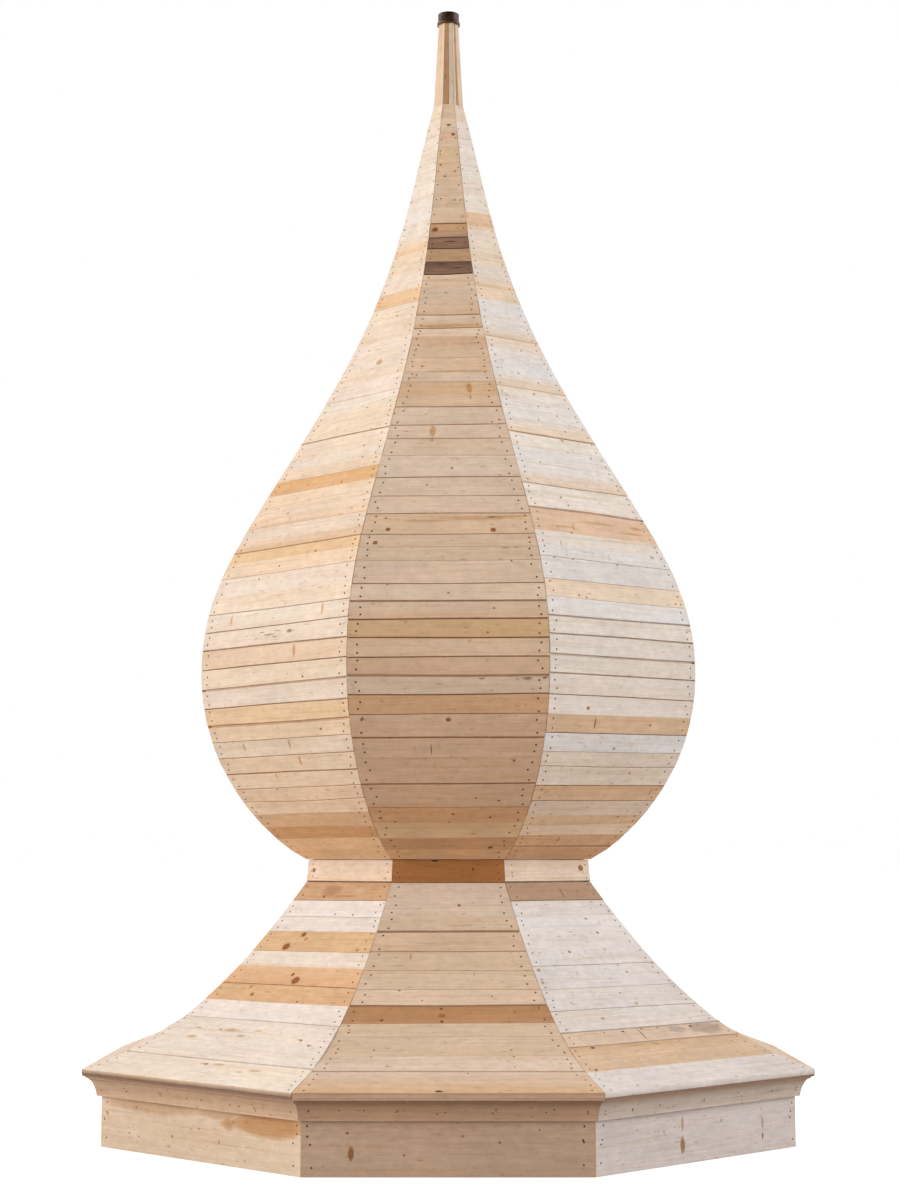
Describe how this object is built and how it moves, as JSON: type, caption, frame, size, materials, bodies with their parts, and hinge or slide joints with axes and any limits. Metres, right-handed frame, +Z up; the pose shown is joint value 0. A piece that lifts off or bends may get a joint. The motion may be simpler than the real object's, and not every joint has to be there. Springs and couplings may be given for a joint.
{
  "type": "onion dome cupola",
  "caption": "Eight-sided boarded onion-dome cupola: plinth, cove eave, flared skirt roof, neck band, onion bulb running into a spire, slatted tip and metal collar.",
  "frame": {"origin": "centre of the flat bottom of the plinth", "axes": "+Z up along the mast; -Y out of the front face shown in the picture; +X to the right seen from the front"},
  "size_m": [3.73, 3.73, 6.2432],
  "materials": {
    "pine_boards": "bare new pine, unpainted, slightly weathered",
    "framing": "rough-sawn pine timbers",
    "collar_metal": "dark brown, half gloss"
  },
  "bodies": {
    "root": {"plinth_front": "pine_boards", "plinth_front_right": "pine_boards", "plinth_right": "pine_boards", "plinth_back_right": "pine_boards", "plinth_back": "pine_boards", "plinth_back_left": "pine_boards", "plinth_left": "pine_boards", "plinth_front_left": "pine_boards", "cove_front": "pine_boards", "cove_front_right": "pine_boards", "cove_right": "pine_boards", "cove_back_right": "pine_boards", "cove_back": "pine_boards", "cove_back_left": "pine_boards", "cove_left": "pine_boards", "cove_front_left": "pine_boards", "skirt_front": "pine_boards", "skirt_front_right": "pine_boards", "skirt_right": "pine_boards", "skirt_back_right": "pine_boards", "skirt_back": "pine_boards", "skirt_back_left": "pine_boards", "skirt_left": "pine_boards", "skirt_front_left": "pine_boards", "onion_front": "pine_boards", "onion_front_right": "pine_boards", "onion_right": "pine_boards", "onion_back_right": "pine_boards", "onion_back": "pine_boards", "onion_back_left": "pine_boards", "onion_left": "pine_boards", "onion_front_left": "pine_boards", "soffit": "pine_boards", "neck_boards": "pine_boards", "tip_slats": "pine_boards", "collar": "collar_metal", "mast": "framing", "sill": "framing", "corner_posts": "framing", "eave_plate": "framing", "skirt_ribs": "framing", "neck_ring": "framing", "neck_beams": "framing", "onion_ribs": "framing"}
  },
  "joints": []
}
